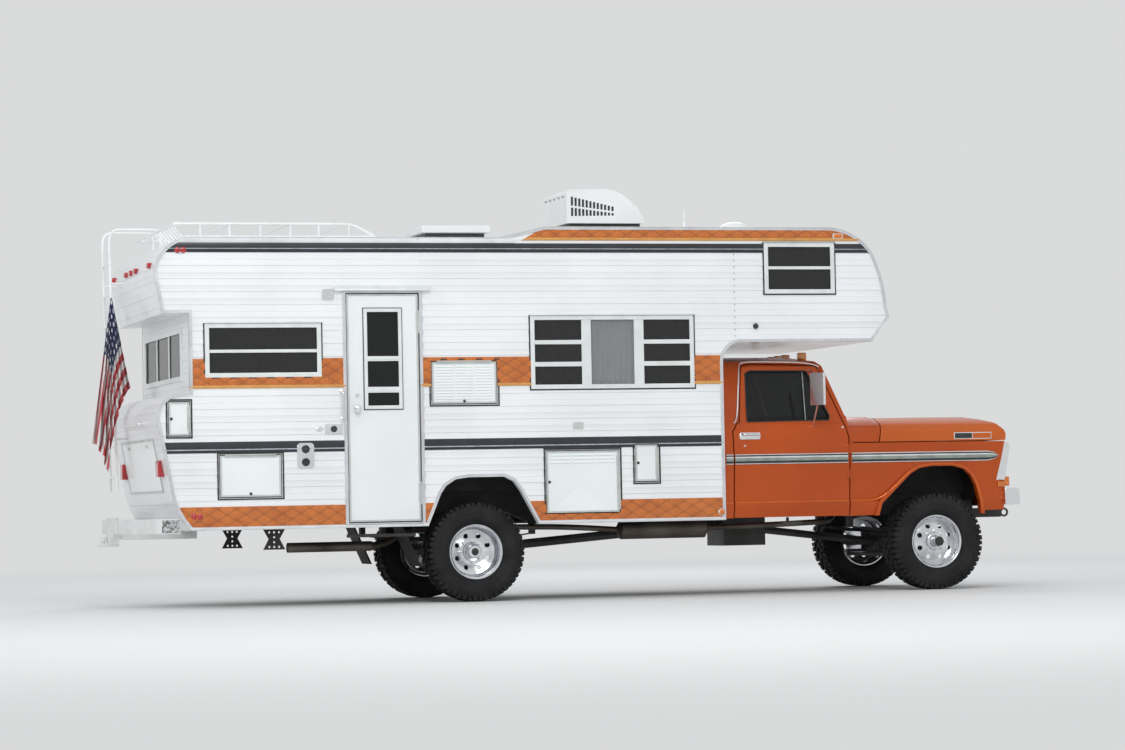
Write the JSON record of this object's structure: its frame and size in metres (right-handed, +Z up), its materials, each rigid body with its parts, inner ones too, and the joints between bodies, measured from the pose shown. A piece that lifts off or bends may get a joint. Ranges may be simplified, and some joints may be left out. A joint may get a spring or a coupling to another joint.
{
  "type": "camper truck",
  "caption": "Four-wheel-drive pickup cab and chassis with an over-cab camper body, doors, hatches, rear ladder, roof rack and hitch.",
  "frame": {"origin": "on the ground under the middle of the vehicle's overall length and width", "axes": "+X forward, +Y to the driver's side (left), +Z up"},
  "size_m": [7.875, 2.51, 3.441],
  "materials": {
    "cab_paint": "metallic gloss",
    "hood_paint": "metallic gloss",
    "camper_skin": "painted aluminium siding",
    "door_skin": "satin",
    "roof_skin": "satin",
    "chassis_paint": "satin black",
    "cast_metal": "rough",
    "exhaust_steel": "dull",
    "bumper_chrome": "polished",
    "white_paint": "gloss",
    "trim_aluminium": "anodised",
    "clear_glass": "tinted",
    "lamp_lens": "clear",
    "red_lens": "clear",
    "seat_vinyl": "woven",
    "dash_plastic": "matte",
    "wheel_rim_plastic": "gloss",
    "curtain_cloth": "woven",
    "flag_cloth": "woven",
    "plastic_white": "moulded",
    "rack_aluminium": "bare",
    "tyre_rubber": "matte",
    "rim_paint": "gloss",
    "mirror_chrome": "polished",
    "fitting_black": "satin"
  },
  "bodies": {
    "truck": {"air_conditioner": "plastic_white", "bench_seat": "seat_vinyl", "cab_glass": "clear_glass", "cab_lamps": "lamp_lens", "cab_shell": "cab_paint", "camper_floor": "chassis_paint", "camper_front_wall": "camper_skin", "camper_lamps": "red_lens", "camper_nose": "camper_skin", "camper_rear_wall": "camper_skin", "camper_roof": "roof_skin", "camper_side_left": "camper_skin", "camper_side_rear": "camper_skin", "camper_side_right": "camper_skin", "camper_trim": "trim_aluminium", "chassis_frame": "chassis_paint", "curtains": "curtain_cloth", "dashboard": "dash_plastic", "exhaust": "exhaust_steel", "flag": "flag_cloth", "front_axle": "chassis_paint", "front_bumper": "bumper_chrome", "front_fenders": "cab_paint", "grille": "bumper_chrome", "ladder": "rack_aluminium", "leaf_springs": "chassis_paint", "luggage_rack": "rack_aluminium", "powertrain": "cast_metal", "rear_axle": "chassis_paint", "rear_bumper": "white_paint", "roof_vents": "plastic_white", "underbody_fittings": "fitting_black", "window_frames": "trim_aluminium", "window_glass": "clear_glass"},
    "wheel_fl": {"tyre_front_left": "tyre_rubber", "wheel_front_left": "rim_paint"},
    "wheel_fr": {"tyre_front_right": "tyre_rubber", "wheel_front_right": "rim_paint"},
    "wheel_rl": {"tyre_rear_left": "tyre_rubber", "wheel_rear_left": "rim_paint"},
    "wheel_rr": {"tyre_rear_right": "tyre_rubber", "wheel_rear_right": "rim_paint"},
    "knuckle_l": {"knuckle_left": "chassis_paint"},
    "knuckle_r": {"knuckle_right": "chassis_paint"},
    "tie": {"tie_rod": "chassis_paint"},
    "steering": {"steering_wheel": "wheel_rim_plastic"},
    "hood": {"hood": "hood_paint"},
    "cab_door_l": {"cab_door_left": "cab_paint", "door_glass_left": "clear_glass", "mirror_left": "mirror_chrome"},
    "cab_door_r": {"cab_door_right": "cab_paint", "door_glass_right": "clear_glass", "mirror_right": "mirror_chrome"},
    "entry_door": {"entry_door": "door_skin", "entry_door_glass": "clear_glass"},
    "rear_hatch": {"rear_hatch": "camper_skin"},
    "locker_door": {"locker_door": "camper_skin"},
    "fridge_vent": {"fridge_vent_door": "camper_skin"},
    "generator_door": {"generator_door": "camper_skin"},
    "forward_hatch": {"forward_hatch": "camper_skin"}
  },
  "joints": [
    {"name": "steer_left", "type": "hinge", "parent": "truck", "child": "knuckle_l", "pos_m": [3.0461, 0.62, 0.4066], "axis": [0, 0, 1], "range_deg": [-30, 30]},
    {"name": "steer_right", "type": "hinge", "parent": "truck", "child": "knuckle_r", "pos_m": [3.0461, -0.62, 0.4066], "axis": [0, 0, 1], "range_deg": [-30, 30]},
    {"name": "tie_rod_swing", "type": "hinge", "parent": "knuckle_l", "child": "tie", "pos_m": [2.8561, 0.62, 0.2947], "axis": [0, 0, 1], "range_deg": [-30, 30]},
    {"name": "spin_front_left", "type": "hinge", "parent": "knuckle_l", "child": "wheel_fl", "pos_m": [3.0461, 0.863, 0.4066], "axis": [0, 1, 0], "continuous": true},
    {"name": "spin_front_right", "type": "hinge", "parent": "knuckle_r", "child": "wheel_fr", "pos_m": [3.0461, -0.863, 0.4066], "axis": [0, 1, 0], "continuous": true},
    {"name": "spin_rear_left", "type": "hinge", "parent": "truck", "child": "wheel_rl", "pos_m": [-0.9925, 0.863, 0.4066], "axis": [0, 1, 0], "continuous": true},
    {"name": "spin_rear_right", "type": "hinge", "parent": "truck", "child": "wheel_rr", "pos_m": [-0.9925, -0.863, 0.4066], "axis": [0, 1, 0], "continuous": true},
    {"name": "steering_wheel_turn", "type": "hinge", "parent": "truck", "child": "steering", "pos_m": [1.9975, 0.37, 1.37], "axis": [-0.9138, 0, 0.4061], "range_deg": [-540, 540]},
    {"name": "hood_lift", "type": "hinge", "parent": "truck", "child": "hood", "pos_m": [2.5855, 0, 1.474], "axis": [0, -1, 0], "range_deg": [0, 50]},
    {"name": "cab_door_left_swing", "type": "hinge", "parent": "truck", "child": "cab_door_l", "pos_m": [2.2655, 1.012, 1], "axis": [0, 0, -1], "range_deg": [0, 65]},
    {"name": "cab_door_right_swing", "type": "hinge", "parent": "truck", "child": "cab_door_r", "pos_m": [2.2655, -1.012, 1], "axis": [0, 0, 1], "range_deg": [0, 65]},
    {"name": "entry_door_swing", "type": "hinge", "parent": "truck", "child": "entry_door", "pos_m": [-1.4785, -1.128, 1.5], "axis": [0, 0, 1], "range_deg": [0, 90]},
    {"name": "rear_hatch_swing", "type": "hinge", "parent": "truck", "child": "rear_hatch", "pos_m": [-3.3635, -1.128, 1.5175], "axis": [0, 0, 1], "range_deg": [0, 90]},
    {"name": "locker_door_lift", "type": "hinge", "parent": "truck", "child": "locker_door", "pos_m": [-2.879, -1.128, 1.224], "axis": [-1, 0, 0], "range_deg": [0, 80]},
    {"name": "fridge_vent_lift", "type": "hinge", "parent": "truck", "child": "fridge_vent", "pos_m": [-1.104, -1.128, 1.959], "axis": [-1, 0, 0], "range_deg": [0, 80]},
    {"name": "generator_door_swing", "type": "hinge", "parent": "truck", "child": "generator_door", "pos_m": [0.1995, -1.128, 0.9635], "axis": [0, 0, 1], "range_deg": [0, 90]},
    {"name": "forward_hatch_swing", "type": "hinge", "parent": "truck", "child": "forward_hatch", "pos_m": [0.5355, -1.128, 1.1095], "axis": [0, 0, 1], "range_deg": [0, 90]}
  ],
  "couplings": [
    {"joint": "steer_right", "follows": "steer_left", "ratio": 1},
    {"joint": "tie_rod_swing", "follows": "steer_left", "ratio": -1},
    {"joint": "steering_wheel_turn", "follows": "steer_left", "ratio": 18}
  ]
}
